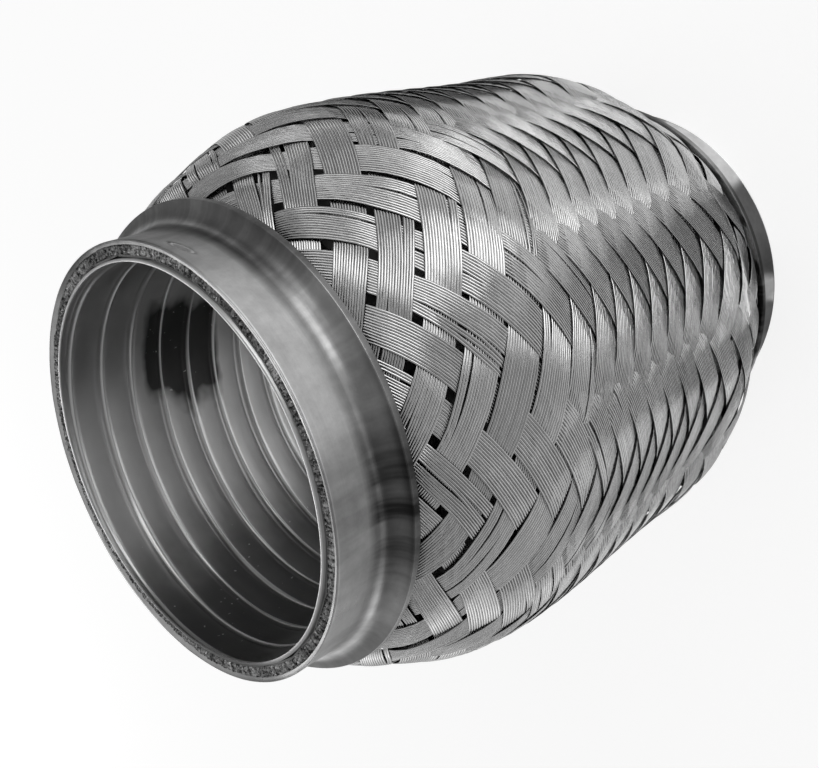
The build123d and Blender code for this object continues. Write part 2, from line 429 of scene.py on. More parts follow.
# Centre lines of all wires of some ribbons. A ribbon steps half a ribbon spacing round for each
# row. A wire lies beside the ribbon's centre line by its place in the ribbon, square to it.
# side is -1 for the ribbons that turn one way and 1 for the others.
def wirePaths(side, numbers, chance):
    count, wires, stations = len(numbers), ribbon["wires"], ribbon["stations"]
    number = np.asarray(numbers, float)[:, None, None]
    across = (np.arange(wires) - (wires - 1) / 2)[None, :, None] * ribbon["wirePitch"]
    t = np.linspace(-1, 1, stations)[None, None, :]
    t = (1.2 * t - 0.2 * t**3)  # stations closer at both ends
    # rows where each wire starts and ends, so that all end level
    step = math.radians(sleeve["stepAngle"])
    ends = []
    for end, sign in ((0, -1), (sleeve["rows"], 1)):
        rate = abs(rowDistance(end + sign) - rowDistance(end))
        around = sleeve["radius"] * step
        share = side * around / math.hypot(around, rate)
        short = ribbon["endRecess"] + chance.uniform(*ribbon["endStray"], (count, wires, 1))
        stop = rowDistance(end) + sign * (sleeve["hold"] - short) - across * share
        ends.append(np.interp(stop, distanceTable, rowTable))
    row = (ends[0] + ends[1]) / 2 + t * (ends[1] - ends[0]) / 2
    # slow drift of the ribbon, finer drift of each wire, and slits that open between two wires
    phase = chance.uniform(0, 2 * np.pi, (count, 1, 1))
    barrel = middleOf(row, sleeve["rows"], *sleeve["barrelRows"])
    drift = ribbon["wander"] * np.sin(ribbon["wanderRate"] * row + phase)
    drift = drift * (1 - ribbon["wanderLost"] * barrel) * middleOf(row, sleeve["rows"], 0, 3)
    finePhase = chance.uniform(0, 2 * np.pi, (2, count, wires, 1))
    fine = sum(np.sin(rate * row + start) for rate, start in zip(ribbon["wireRates"], finePhase))
    slitShape = (count, 1, 1, ribbon["slits"])
    slitRow = chance.uniform(0, ribbon["slitRows"], slitShape)
    slitPlace = chance.uniform(-ribbon["slitPlace"], ribbon["slitPlace"], slitShape)
    opening = np.exp(-(((row[..., None] - slitRow) / ribbon["slitLength"]) ** 4))
    opening = (opening * np.sign(across[..., None] - slitPlace)).sum(axis=-1)
    beside = across * widthAt(row) + drift
    beside = beside + ribbon["wireWander"] * fine + ribbon["slit"] / 2 * opening
    # place on the surface
    distance = rowDistance(row)
    rate = (rowDistance(row + 0.02) - rowDistance(row - 0.02)) / 0.04
    radius = np.interp(distance, course["distance"], course["radius"])
    steps = row + 2 * number if side < 0 else 2 * number - row
    azimuth = math.radians(sleeve["firstAngle"]) - step * steps
    size = np.hypot(radius * step, rate)
    aroundShare, downShare = side * radius * step / size, rate / size
    azimuth = azimuth - beside * downShare / radius
    fade = np.interp(row, *sleeve["slantRows"])
    slant = sleeve["slant"] * np.sin(azimuth - math.radians(sleeve["slantAngle"])) * fade
    distance = distance + beside * aroundShare + slant
    # over and under
    rowThere = row + beside * aroundShare / rate
    stepsThere = steps + beside * downShare / radius / step
    if side < 0:
        wave = overUnder(number + (stepsThere + rowThere) / 2)
    else:
        wave = -overUnder(number + (stepsThere - rowThere) / 2)
    out = middleOf(distance, course["span"], *sleeve["leaving"])
    base, height = [cuff + (neck - cuff) * out + (middle - neck) * barrel
                    for cuff, neck, middle in (ribbon["base"], ribbon["height"])]
    edge = across / across.max()
    lift = base + height * wave - ribbon["crown"] * edge**2 * out
    lift = lift - side * ribbon["tilt"] * edge * barrel
    past = np.maximum(-distance, distance - course["span"])
    cut = ease(past, *(sleeve["hold"] - before for before in ribbon["cut"]))
    lift = lift - ribbon["fray"] * chance.uniform(*ribbon["frayShare"], (count, wires, 1)) * cut
    outR = np.interp(distance, course["distance"], course["outR"])
    outZ = np.interp(distance, course["distance"], course["outZ"])
    radius = np.interp(distance, course["distance"], course["radius"]) + lift * outR
    height = np.interp(distance, course["distance"], course["height"]) + lift * outZ
    roundness = 1 - ribbon["smoothed"] * middleOf(row, sleeve["rows"], *ribbon["smoothedRows"])
    centre, outward = roundPoints(radius, azimuth, height), roundPoints(outR, azimuth, outZ)
    return centre, outward, roundness, widthAt(row)


# Sweeps flattened wires along their centre lines: the profile gives the points round each station
# as distance sideways and outwards, the last one joined to the first by a flat underside, and both
# ends are capped. Where a wire is rubbed smooth, its top is flattened and its shoulders move out.
def addRibbons(name, side, numbers, finish):
    chance = np.random.default_rng(ribbon["seed"] + 7 * side + numbers[0])
    centre, outward, roundness, width = wirePaths(side, numbers, chance)
    tangent = np.gradient(centre, axis=2)
    tangent /= np.linalg.norm(tangent, axis=-1, keepdims=True)
    beside = np.cross(outward, tangent)
    beside /= np.linalg.norm(beside, axis=-1, keepdims=True)
    outward = np.cross(tangent, beside)
    aside, up = np.array(ribbon["profile"]).T[:, :, None]
    corners = len(up)
    edges, shoulders = (0, corners - 1), (1, corners - 2)
    top = up.max()
    up = top + (up - top) * roundness[..., None, None]
    up[..., edges, :] -= ribbon["underside"]
    aside = np.broadcast_to(aside * width[..., None, None], up.shape).copy()
    flat = (1 - roundness[..., None, None]) / ribbon["smoothed"]
    moved = ribbon["shoulder"] * aside[..., edges, :] - aside[..., shoulders, :]
    aside[..., shoulders, :] += moved * flat
    points = centre[..., None, :] + aside * beside[..., None, :] + up * outward[..., None, :]
    count, wires, stations = centre.shape[:3]
    block = stations * corners
    starts = (np.arange(count * wires) * block)[:, None, None]
    sides = (gridFaces(stations, corners, closed=True)[None] + starts).reshape(-1, 4)
    section = np.arange(corners)[None, None]
    first = (section[..., ::-1] + starts).reshape(-1, corners)
    last = (section + starts + block - corners).reshape(-1, corners)
    # the piece's own map: wire number plus the share of the way round, and mm along
    length = np.linalg.norm(np.diff(centre, axis=2), axis=-1).cumsum(axis=2)
    length = np.concatenate([np.zeros((count, wires, 1)), length], axis=2)
    wireNumber = np.arange(count * wires).reshape(count, wires, 1, 1)
    around = wireNumber + np.linspace(0.01, 0.99, corners)[None, None, None, :]
    uv = np.stack(np.broadcast_arrays(around, length[..., None]), axis=-1).reshape(-1, 2)
    piece = addPiece(name, points.reshape(-1, 3), [sides, first, last], finish,
                     "woven_sleeve", uv)
    # the underside's two long edges stay sharp, so that the top shades by its own shape
    ends = np.empty(len(piece.data.edges) * 2, np.int32)
    piece.data.edges.foreach_get("vertices", ends)
    corner = ends.reshape(-1, 2) % corners
    sharp = (corner[:, 0] == corner[:, 1]) & np.isin(corner[:, 0], edges)
    piece.data.edges.foreach_set("use_edge_sharp", sharp)


wireLook = {
    "tone": (0.66, 0.77),  # from one wire to the next
    "ribbonTone": (0.84, 1.06),  # from one ribbon to the next
    "valley": (0.27, 0.44),  # share of the way from a wire's top where the painted shade begins and is full
    "valleyTone": (0.10, 0.55),  # painted shade and grime in clean ribbons and in those rubbed smooth
    "barrel": (0.022, 0.033),  # m from mid length, where the ribbons are rubbed smooth and where not
    "barrelValley": 0.9,
    "rough": (0.12, 0.22),
    "barrelRough": 0.62,  # share of the roughness that is left where the ribbons are rubbed smooth
    "linesDepth": 0.005,
    "lean": -0.32,  # slope of a rubbed ribbon's face in shading alone, here against its own tilt
    "rubbedStep": 7.3,  # how far the noise of the rubbed stretches moves on for each ribbon
    "rubbedScale": 0.045,  # of that noise, for each mm along
    "rubbedSpan": (0.45, 0.66),
    "linesAcross": 9.0,
    "linesAlong": 0.35,
    "linesTone": (0.9, 1.06),
    "cloudScale": 90.0,
    "cloudTone": (0.92, 1.06),
}


# Drawn wire: lines along it, painted shade and grime in the valleys, each wire and each ribbon a
# little lighter or darker than the next. Relief = drawn lines + a ramp across the rubbed ribbon.
def wirePattern(tree, side):
    look = wireLook
    wires = float(ribbon["wires"])
    x, y, _ = separate(tree, addNode(tree, "UVMap", uv_map="along").outputs[0])
    off = calc(tree, "ABSOLUTE", calc(tree, "SUBTRACT", calc(tree, "FRACT", x), 0.5))
    whichRibbon = calc(tree, "FLOOR", calc(tree, "DIVIDE", x, wires))
    alongRibbon = combine(tree, X=times(tree, whichRibbon, look["rubbedStep"]),
                          Y=times(tree, y, look["rubbedScale"]))
    rubbed = grain(tree, alongRibbon, 1.0, 1.0)
    # painted shade and grime in the valleys between the wires, weaker where the ribbons are rubbed smooth
    shadeAndGrime = spread(tree, rubbed, *look["rubbedSpan"], *look["valleyTone"])
    _, _, z = separate(tree, place(tree))
    fromMiddle = calc(tree, "ABSOLUTE", calc(tree, "SUBTRACT", z, pipe["length"] * mm / 2))
    neck = spread(tree, fromMiddle, *look["barrel"], 0.0, 1.0)
    shadeAndGrime = blend(tree, neck, look["barrelValley"], shadeAndGrime)
    valley = spread(tree, off, *look["valley"], 1.0, shadeAndGrime)
    lines = combine(tree, X=times(tree, x, look["linesAcross"]),
                    Y=times(tree, y, look["linesAlong"]))
    drawn = grain(tree, lines, 1.0, 3.0, 0.6)
    cloud = grain(tree, place(tree), look["cloudScale"], 3.0, 0.6)
    own, whole = lottery(tree, calc(tree, "FLOOR", x)), lottery(tree, whichRibbon)
    tone = valley
    for value, span, key in ((own, (0, 1), "tone"), (whole, (0, 1), "ribbonTone"),
                             (cloud, noiseSpan, "cloudTone"), (drawn, noiseSpan, "linesTone")):
        tone = times(tree, tone, spread(tree, value, *span, *look[key]))
    rough = spread(tree, calc(tree, "ADD", cloud, drawn), *pairSpan, *look["rough"])
    rough = times(tree, rough, blend(tree, neck, look["barrelRough"], 1.0))
    # the ramp's whole rise across the ribbon, which only shading shows, in depths of the drawn lines
    rise = -side * look["lean"] * ribbon["wirePitch"] * ribbon["wires"] / look["linesDepth"]
    ramp = times(tree, calc(tree, "FRACT", calc(tree, "DIVIDE", x, wires)), rise)
    relief = calc(tree, "ADD", drawn, times(tree, ramp, calc(tree, "SUBTRACT", 1.0, neck)))
    return tone, rough, relief, look["linesDepth"]


drawnWire = {side: metalFinish(name, lambda tree: wirePattern(tree, side))
             for name, side in (("leftWire", -1), ("rightWire", 1))}
half = int(round(180 / sleeve["stepAngle"])) // 2  # of the ribbons of one side
for name, side, first in (("left_ribbons_1", -1, 0), ("left_ribbons_2", -1, half),
                          ("right_ribbons_1", 1, 0), ("right_ribbons_2", 1, half)):
    addRibbons(name, side, range(first, first + half), drawnWire[side])
    print("woven", name)


# The sleeve's cut wire ends, crimped into a rough band inside the end of each collar.
cutEnds = {
    "inner": 26.5,
    "outer": 27.9,
    "deepOuter": 27.42,
    "depth": 1.3,
    "recess": 0.28,  # how far the band lies below the collar's end face
    "least": 0.04,  # and how far each of its points at least
    "limit": 27.93,  # no point lies farther out
    "sides": 1200,
    "rough": (0.13, 0.24),  # how far single ends stray sideways and up or down
    "widest": (-1.6, 1.2),  # times that, inwards and outwards
    "smoothing": (0.55, 0.25),  # share of its own stray, and of each neighbour's
    "lumps": 0.16,
    "raised": 0.3,  # share of a lump's height by which all are raised
    "lumpsSideways": 0.07,
    "lumpWaves": (4, 7, 13, 22, 31, 47),
    "faceRows": 7,
}


# Carries the band's section round the axis. Each point strays at random, a little smoothed, and
# slow lumps raise or sink whole stretches.
def addCutEnds(name, front, seed):
    chance = np.random.default_rng(seed)
    angle = np.arange(cutEnds["sides"]) * 2 * np.pi / cutEnds["sides"]
    inner, outer, recess, depth = (cutEnds[key] for key in ("inner", "outer", "recess", "depth"))
    face = cutEnds["faceRows"]
    radius = np.concatenate([[cutEnds["deepOuter"]], np.linspace(outer, inner, face),
                             [inner, (inner + outer) / 2]])
    down = np.concatenate([[depth, recess + 0.1], np.full(face - 2, recess),
                           [recess + 0.15, depth, depth + 0.1]])
    loose = np.concatenate([[0], np.ones(face), [0, 0]])[:, None]
    stray = chance.normal(0, 1, (2, len(radius), cutEnds["sides"]))
    own, beside = cutEnds["smoothing"]
    stray = own * stray + beside * (np.roll(stray, 1, -1) + np.roll(stray, -1, -1))
    lumps = ripple(angle, seed + 1, cutEnds["lumpWaves"])
    sideways, upright = cutEnds["rough"]
    sideways = sideways * np.clip(stray[0], *cutEnds["widest"]) - cutEnds["lumpsSideways"] * lumps
    radius = np.minimum(radius[:, None] + sideways * loose, cutEnds["limit"])
    sunk = upright * np.abs(stray[1]) + cutEnds["lumps"] * (lumps - cutEnds["raised"])
    down = np.maximum(down[:, None] + sunk * loose, cutEnds["least"])
    addRound(name, radius, down, angle, front, cutWire, "woven_sleeve")


cutLook = {
    "endScale": (95.0, 1200.0),  # single wires, round the axis and up
    "gritScale": 2600.0,
    "toneSpan": (0.82, 1.2),
    "tone": (0.05, 0.80),
    "wideScale": 130.0,
    "wideSpan": (0.38, 0.62),
    "wideTone": (0.45, 1.15),
    "rough": (0.5, 0.28),
    "depth": 0.08,
}


# Cut wire: bright cut faces with painted glints among gaps of painted shade, at the grain of
# single wires, in lighter and darker stretches.
def cutPattern(tree):
    look = cutLook
    fine = grain(tree, roundPlace(tree, *look["endScale"]), 1.0, 2.0, 0.6)
    grit = grain(tree, place(tree), look["gritScale"], 2.0, 0.6)
    wide = grain(tree, place(tree), look["wideScale"], 2.0)
    both = calc(tree, "ADD", fine, grit)
    # specks from painted shade in the gaps to bright cut faces with painted glints
    tone = spread(tree, both, *look["toneSpan"], *look["tone"])
    tone = times(tree, tone, spread(tree, wide, *look["wideSpan"], *look["wideTone"]))
    return tone, spread(tree, grit, *noiseSpan, *look["rough"]), both, look["depth"]


cutWire = metalFinish("cutWire", cutPattern)
addCutEnds("wire_ends_front", True, 51)
addCutEnds("wire_ends_rear", False, 61)
print("wire ends crimped")


# The collars, both from one outline.
collar = {
    "sheet": 1.0,
    "flare": 2.95,
    "sides": 320,
    "edge": 0.14,  # rounding of the sheet's edges
    "lip": 0.52,  # how thick the wall is at its end, where its inside is bevelled
    "bevel": 1.1,
    "fineWall": (0.35, 3.4, 0.14),  # rows of the wall by the nick: first, last and step
    "coarseWall": (3.5, 0.2, 0.35),  # and past it: first, mm left before the bend, step
    "backRows": (5.0, 3.0),
    "corner": 5,
    "quarter": 15,
    "wobble": 0.06,  # dents of the wall, all inward
    "dentTurn": 0.25,  # radians by which the dents turn for each mm down
    "flangeWobble": 0.09,
    "flangeWaves": (3, 5, 7),
    "burr": 0.07,
    "burrWaves": (7, 11, 17, 29, 41),
    "nickDown": 2.05,
    "nickAngle": 67.3,
    "nickDepth": 0.42,
    "nickReach": 3.6,  # degrees
    "nickWidth": 0.24,
    "nickSlant": 0.05,
}


# Outline of the collar's sheet as distance from its end face and radius, once round: wall, bend
# of a quarter circle, flange edge, the bend's back and the inside of the wall.
def collarOutline():
    outer, top = pipe["collarRadius"], pipe["flangeRadius"]
    edge, sheet, flare = collar["edge"], collar["sheet"], collar["flare"]
    bend = pipe["collarHeight"] - sheet - flare  # where the wall ends
    corner = np.linspace(0, np.pi / 2, collar["corner"])
    quarter = np.linspace(0, np.pi / 2, collar["quarter"])
    first, before, step = collar["coarseWall"]
    wall = np.concatenate([np.arange(*collar["fineWall"]), np.arange(first, bend - before, step)])
    back = np.array([*collar["backRows"], collar["bevel"]])
    down = np.concatenate([
        edge - edge * np.sin(corner), wall,
        bend + flare * np.sin(quarter[:-1]), bend + flare + edge - edge * np.cos(corner),
        bend + flare + sheet - edge + edge * np.sin(corner), bend + (flare + sheet) * np.cos(quarter[1:]),
        back, [edge],
    ])
    radius = np.concatenate([
        outer - edge + edge * np.cos(corner), np.full(len(wall), outer),
        top - flare * np.cos(quarter[:-1]), top - edge + edge * np.sin(corner),
        top - edge + edge * np.cos(corner), top - (flare + sheet) * np.sin(quarter[1:]),
        np.full(len(back), outer - sheet), [outer - collar["lip"]],
    ])
    return down, radius


# Carries the outline round the axis. The wall gets shallow dents, its edge a burr, and the front
# one a nick: each a bell-shaped or rippled depth, taken off the radius or the height.
def addCollar(name, front, seed):
    down, radius = (line[:, None] for line in collarOutline())
    angle = (np.arange(collar["sides"]) * 2 * np.pi / collar["sides"])[None, :]
    outside = radius > pipe["collarRadius"] - 0.5
    dents = (1 + ripple(angle + collar["dentTurn"] * down, seed)) / 2 * ease(down, 0.3, 2.5)
    inward = collar["wobble"] * dents * outside
    burr = collar["burr"] * (1 + ripple(angle, seed + 1, collar["burrWaves"])) / 2
    burr = burr * (1 - ease(down, 0.1, 0.5))
    if front:
        gap = np.degrees(np.angle(np.exp(1j * (angle - math.radians(collar["nickAngle"])))))
        there = down - collar["nickDown"] + collar["nickSlant"] * gap
        nick = np.exp(-((gap / collar["nickReach"]) ** 4)) * np.exp(-((there / collar["nickWidth"]) ** 2))
        inward = inward + collar["nickDepth"] * nick * outside
    flare = ease(radius, pipe["collarRadius"] + 1, pipe["flangeRadius"])
    dip = collar["flangeWobble"] * (1 + ripple(angle, seed + 2, collar["flangeWaves"])) / 2
    radius = radius - inward - dip * flare
    addRound(name + "_sheet", radius, down + burr, angle, front, satinSheet, name)


sheetLook = {
    "tone": (0.60, 0.94),
    "rough": (0.34, 0.18),
    # azimuth and reach of each painted dark reflection in degrees, tone left on the wall and on the bend
    "stains": ((-14, 30, 0.42, 0.05), (97, 46, 0.30, 0.28), (60, 22, 1.0, 0.35), (-60, 34, 0.50, 0.55),
               (28, 50, 1.0, 0.40)),
    "sway": (2.5, 40.0, 0.14),  # scales of the noise that moves them, round and up, and its strength
    "streakScale": (9.0, 60.0),
    "streakSpan": (0.36, 0.6),
    "streakShare": (0.8, 1.04),  # of the painted dark reflections, between and in the streaks
    "stainRough": 0.12,
    "bend": (0.0049, 0.0064),  # m from the end face, where the bend begins and where it is full
    "cloudScale": 55.0,
    "cloudSpan": (0.32, 0.68),
    "cloudRelief": 2.0,
    "linesScale": (2.0, 2600.0),
    "spotScale": 400.0,
    "spotSpan": (0.35, 0.65),
    "spotTone": (0.88, 1.06),
    "depth": 0.01,
}


# Pressed sheet: soft clouds, fine lines round it, small stains, and large patches of painted dark
# reflection that run in streaks along the pipe and gather in the bend.
def sheetPattern(tree):
    look = sheetLook
    cloud = grain(tree, place(tree), look["cloudScale"], 4.0, 0.6)
    turned = grain(tree, roundPlace(tree, *look["linesScale"]), 1.0, 3.0, 0.6)
    spots = grain(tree, place(tree), look["spotScale"], 4.0, 0.7)
    streak = grain(tree, roundPlace(tree, *look["streakScale"]), 1.0, 3.0, 0.65)
    streak = spread(tree, streak, *look["streakSpan"], *look["streakShare"])
    tone = spread(tree, cloud, *look["cloudSpan"], *look["tone"])
    tone = times(tree, tone, spread(tree, spots, *look["spotSpan"], *look["spotTone"]))
    # distance from mid length, and from it how far into the bend
    middle = pipe["length"] * mm / 2
    _, _, z = separate(tree, place(tree))
    level = calc(tree, "ABSOLUTE", calc(tree, "SUBTRACT", z, middle))
    bend = spread(tree, level, *(middle - fromEnd for fromEnd in look["bend"]), 0.0, 1.0)
    around = swayedAround(tree, *look["sway"])
    # large patches of painted dark reflection round given azimuths, in streaks, toned apart on the wall
    # and in the bend
    darkReflectionShare = 0.0
    for azimuth, reach, wallTone, bendTone in look["stains"]:
        share = times(tree, azimuthShare(tree, around, azimuth, reach), streak)
        left = blend(tree, bend, wallTone, bendTone)
        tone = times(tree, tone, blend(tree, share, 1.0, left))
        darkReflectionShare = calc(tree, "MAXIMUM", share, darkReflectionShare)
    rough = spread(tree, calc(tree, "ADD", cloud, turned), *pairSpan, *look["rough"])
    rough = calc(tree, "ADD", rough, times(tree, darkReflectionShare, look["stainRough"]))
    relief = calc(tree, "ADD", turned, times(tree, cloud, look["cloudRelief"]))
    return tone, rough, relief, look["depth"]


satinSheet = metalFinish("satinSheet", sheetPattern)
addCollar("front_collar", True, 21)
addCollar("rear_collar", False, 31)
print("collars pressed")


# The liner, a strip wound turn on turn.
liner = {
    "outside": 26.25,
    "pitch": 4.8,
    "phase": 100.93,  # height of a bead at azimuth 0
    "flat": 26.0,
    "beadHeight": 0.235,
    "beadWidth": 0.26,
    "shoulder": 0.07,  # height of the long slope on the bead's front side
    "shoulderLength": 0.8,
    "secondOff": 0.95,
    "secondHeight": 0.06,
    "secondWidth": 0.16,
    "reach": 1.2,  # how far a bead's own stretch begins before it
    "hollow": (0.05, 1.1, 0.6),  # depth, and how far it stays from this bead and the next
    "clear": 0.005,  # how far the strip stays outside the bore
    "uneven": ((0.09, 2.6), (0.05, 5.7)),  # sways of the winding: mm to each side, and how fast
    "lip": 0.19,  # how far the mouth's edge is rolled in
    "lipWidth": 0.35,
    "short": (0.05, 0.08),  # how far the mouths at least end before the pipe does, and how much more
    "mouthWaves": (5, 9, 14, 23),
    "rim": (0.05, 0.04),  # width and height of the mouth's rounded edges
    "columns": 200,
    # mm from a bead to each row of points
    "levels": (-0.6, -0.36, -0.22, -0.11, 0, 0.11, 0.22, 0.36, 0.6, 0.78, 0.88, 0.98, 1.12, 1.6, 2.6),
}


# Radius of the strip's face by the distance from its bead: a round bead, a long slope and a fainter
# bead on its front side, and a shallow hollow before the next.
def stripRadius(off):
    pitch = liner["pitch"]
    off = (off + liner["reach"]) % pitch - liner["reach"]
    bead = liner["beadHeight"] * np.exp(-((off / liner["beadWidth"]) ** 2))
    second = liner["secondHeight"] * np.exp(-(((off - liner["secondOff"]) / liner["secondWidth"]) ** 2))
    slope = liner["shoulder"] * np.exp(-np.maximum(off, 0) / liner["shoulderLength"]) * (off > 0)
    depth, before, after = liner["hollow"]
    hollow = depth * np.sin(np.pi * ease(off, before, pitch - after))
    return np.maximum(liner["flat"] - bead - second - slope + hollow, pipe["bore"] + liner["clear"])


# Where on the wound strip a point lies, in mm along the axis at azimuth 0: its height less the
# climb of the winding, which is a little uneven.
def windingPlace(height, angle):
    level = height - liner["pitch"] * angle / (2 * np.pi)
    turned = angle + 2 * np.pi * level / liner["pitch"]
    return level - sum(size * np.sin(rate * turned) for size, rate in liner["uneven"])


# The inner face follows the winding: each row climbs one pitch in a turn, so that its end meets
# the start of the row one turn up. Rows past an end lie on that end and are welded together.
def addLiner():
    pitch, length, outside = liner["pitch"], pipe["length"], liner["outside"]
    turns = np.arange(-2, int(length / pitch) + 2) * pitch + liner["phase"] % pitch
    levels = (turns[:, None] + np.array(liner["levels"])).ravel()[:, None]
    angle = np.linspace(0, 2 * np.pi, liner["columns"] + 1)[None, :]
    least, more = liner["short"]
    top, bottom = (least + more * (1 + ripple(angle, seed, liner["mouthWaves"])) / 2 for seed in (41, 42))
    top = length - top
    wanted = levels + pitch * angle / (2 * np.pi)
    height = np.clip(wanted + (levels - windingPlace(wanted, angle)), bottom, top)
    wound = windingPlace(height, angle) - liner["phase"] % pitch
    radius = stripRadius(wound)
    for mouth in (top, bottom):
        radius = radius - liner["lip"] * np.exp(-(((height - mouth) / liner["lipWidth"]) ** 2))
    radius = np.maximum(radius, pipe["bore"] + liner["clear"])
    back = np.full_like(angle, outside)
    turn, rise = liner["rim"]
    rim = [(radius[-1:] + turn, top + rise), (back - turn, top + rise), (back, top),
           (back, np.full_like(angle, length / 2)), (back, bottom),
           (back - turn, bottom - rise), (radius[:1] + turn, bottom - rise)]
    radius = np.concatenate([radius] + [part[0] for part in rim] + [radius[:1]])
    height = np.concatenate([height] + [part[1] for part in rim] + [height[:1]])
    wound = np.concatenate([wound, np.full((len(rim) + 1, wound.shape[1]), pitch / 2)])
    angle = np.broadcast_to(angle, radius.shape)
    uv = np.stack([angle * outside, wound], axis=-1).reshape(-1, 2)
    points = roundPoints(radius, angle, height).reshape(-1, 3)
    piece = addPiece("wound_liner", points, [gridFaces(*radius.shape)],
                     dullStrip, "interlock_liner", uv)
    weld(piece, 0.0005)


linerLook = {
    "cloudScale": 45.0,
    "cloudSpan": (0.35, 0.65),
    "tone": (0.66, 0.86),
    "beadSpan": (0.12, 0.32),  # mm from its middle over which a bead's painted highlight fades
    "beadTone": (0.8075, 0.95),
    "linesScale": (3.0, 1800.0),
    "rough": (0.45, 0.28),
    "depth": 0.006,
    "sway": (3.0, 150.0, 0.5),  # as for the sheet's stains
    "soot": ((-106, 58, 0.25),),  # azimuth, reach in degrees, tone left
    # azimuth, reach, m from the mouth to its middle, half its length in m, tone left
    "patch": (158, 24, 0.020, 0.0075, 0.14),
    "patchSway": 0.006,  # m by which the clouds move its edges
    "patchSpan": (0.1, 0.6),
    "speckScale": 1500.0,
    "speckSpan": (0.72, 0.8),
    "speckTone": 0.9,
}


# Dull strip with clouded patches and fine lines along the winding, and painted highlights on the
# beads. One side is darker, with small bright specks, and one soft black patch, a painted dark
# reflection, lies between the beads.
def stripPattern(tree):
    look = linerLook
    _, wound, _ = separate(tree, addNode(tree, "UVMap", uv_map="along").outputs[0])
    _, _, z = separate(tree, place(tree))
    cloud = grain(tree, place(tree), look["cloudScale"], 4.0, 0.55)
    turned = grain(tree, roundPlace(tree, *look["linesScale"]), 1.0, 3.0, 0.6)
    tone = spread(tree, cloud, *look["cloudSpan"], *look["tone"])
    around = swayedAround(tree, *look["sway"])
    left = 1.0
    # one side of the liner is darker
    for azimuth, reach, toneLeft in look["soot"]:
        share = azimuthShare(tree, around, azimuth, reach)
        left = times(tree, blend(tree, share, 1.0, toneLeft), left)
    # a soft black patch near the front mouth: a painted dark reflection
    azimuth, reach, middle, halfLength, toneLeft = look["patch"]
    down = calc(tree, "SUBTRACT", pipe["length"] * mm - middle, z)
    shift = times(tree, calc(tree, "SUBTRACT", cloud, 0.5), look["patchSway"])
    down = calc(tree, "ABSOLUTE", calc(tree, "ADD", down, shift))
    near = spread(tree, down, halfLength * 0.8, halfLength, 1.0, 0.0)
    share = times(tree, azimuthShare(tree, around, azimuth, reach), near)
    left = times(tree, left, spread(tree, share, *look["patchSpan"], 1.0, toneLeft))
    specks = grain(tree, place(tree), look["speckScale"], 1.0)
    left = calc(tree, "MAXIMUM", left, spread(tree, specks, *look["speckSpan"], 0.0, look["speckTone"]))
    tone = times(tree, tone, left)
    # distance from the nearest bead, in mm
    feeds = {0: wound, 1: liner["pitch"] / 2, 2: -liner["pitch"] / 2}
    off = addNode(tree, "Math", feeds, operation="WRAP").outputs[0]
    # painted highlight along each bead
    bead = spread(tree, calc(tree, "ABSOLUTE", off), *look["beadSpan"], 1.0, 0.0)
    highlightTone = spread(tree, cloud, *look["cloudSpan"], *look["beadTone"])
    tone = blend(tree, bead, tone, highlightTone)
    rough = spread(tree, calc(tree, "ADD", cloud, turned), *pairSpan, *look["rough"])
    return tone, rough, turned, look["depth"]


dullStrip = metalFinish("dullStrip", stripPattern)
addLiner()
print("liner wound")


# The bellows keeps its CAD shape and gets a better finish.
foldLook = {"cloudScale": 80.0, "tone": (0.2, 0.34), "linesScale": (3.0, 1500.0),
            "rough": (0.45, 0.3), "depth": 0.004}


# Folded sheet: dark, in soft clouds, with fine lines round it that change its roughness too.
def foldPattern(tree):
    look = foldLook
    cloud = grain(tree, place(tree), look["cloudScale"], 3.0)
    turned = grain(tree, roundPlace(tree, *look["linesScale"]), 1.0, 2.0)
    tone = spread(tree, cloud, *noiseSpan, *look["tone"])
    return tone, spread(tree, turned, *noiseSpan, *look["rough"]), turned, look["depth"]


foldedSheet = metalFinish("foldedSheet", foldPattern)
bellows = frame["nodes"]["pleated_bellows"]
bellows.data.materials.clear()
bellows.data.materials.append(foldedSheet)


# Floor, lamps and world.
stage = {
    "sides": 96,
    "floorRings": (0.0005, 0.2, 0.8, 3.0),  # m from the axis
    "floorLevel": -0.0001,
    "floorGlow": 0.80,
    "floorTone": 0.36,
    "floorPlain": 0.8,  # tone of the floor as it lights the pipe
    "cardRings": (0.02, 0.06, 0.12, 0.49),
    "cardLevel": 0.00005,
    "cardTone": 0.02,
    "shade": 0.6,  # share of black on the card
    "shadeAtFoot": 0.3,  # part of that share right round the pipe
    "shadeNear": (0.08, 0.13),  # m from the axis where the shade grows to its full share
    "shadeFar": (0.16, 0.40),  # and where it fades
    # darker petals of the card: azimuth and reach in degrees, darkness, first and last m from the axis
    "petals": ((128, 31, 1.0, 0, 0.10), (68, 7, 0.66, 0, 0.09), (11, 20, 0.90, 0, 0.09),
               (-24, 11, 0.80, 0, 0.10), (-66, 16, 0.55, 0, 0.10), (120, 40, 0.95, 0.20, 0.45)),
    "petalEdge": 0.04,
    "petalCore": 0.75,
    "worldTone": (0.15, 0.36),  # at the horizon, and from worldRise up
    "worldRise": 0.8,
    "lampAim": (0, 0, 0.05),
}
lamps = {  # place, width and height in m, radiance
    "left": ((0.36, 0.37, 0.14), 0.36, 0.24, 2.15),
    "leftHigh": ((0.13, 0.42, 0.40), 0.30, 0.22, 1.1),
    "back": ((-0.53, -0.14, 0.15), 0.30, 0.26, 2.0),
    "right": ((-0.24, -0.48, 0.09), 0.36, 0.16, 0.6),
}


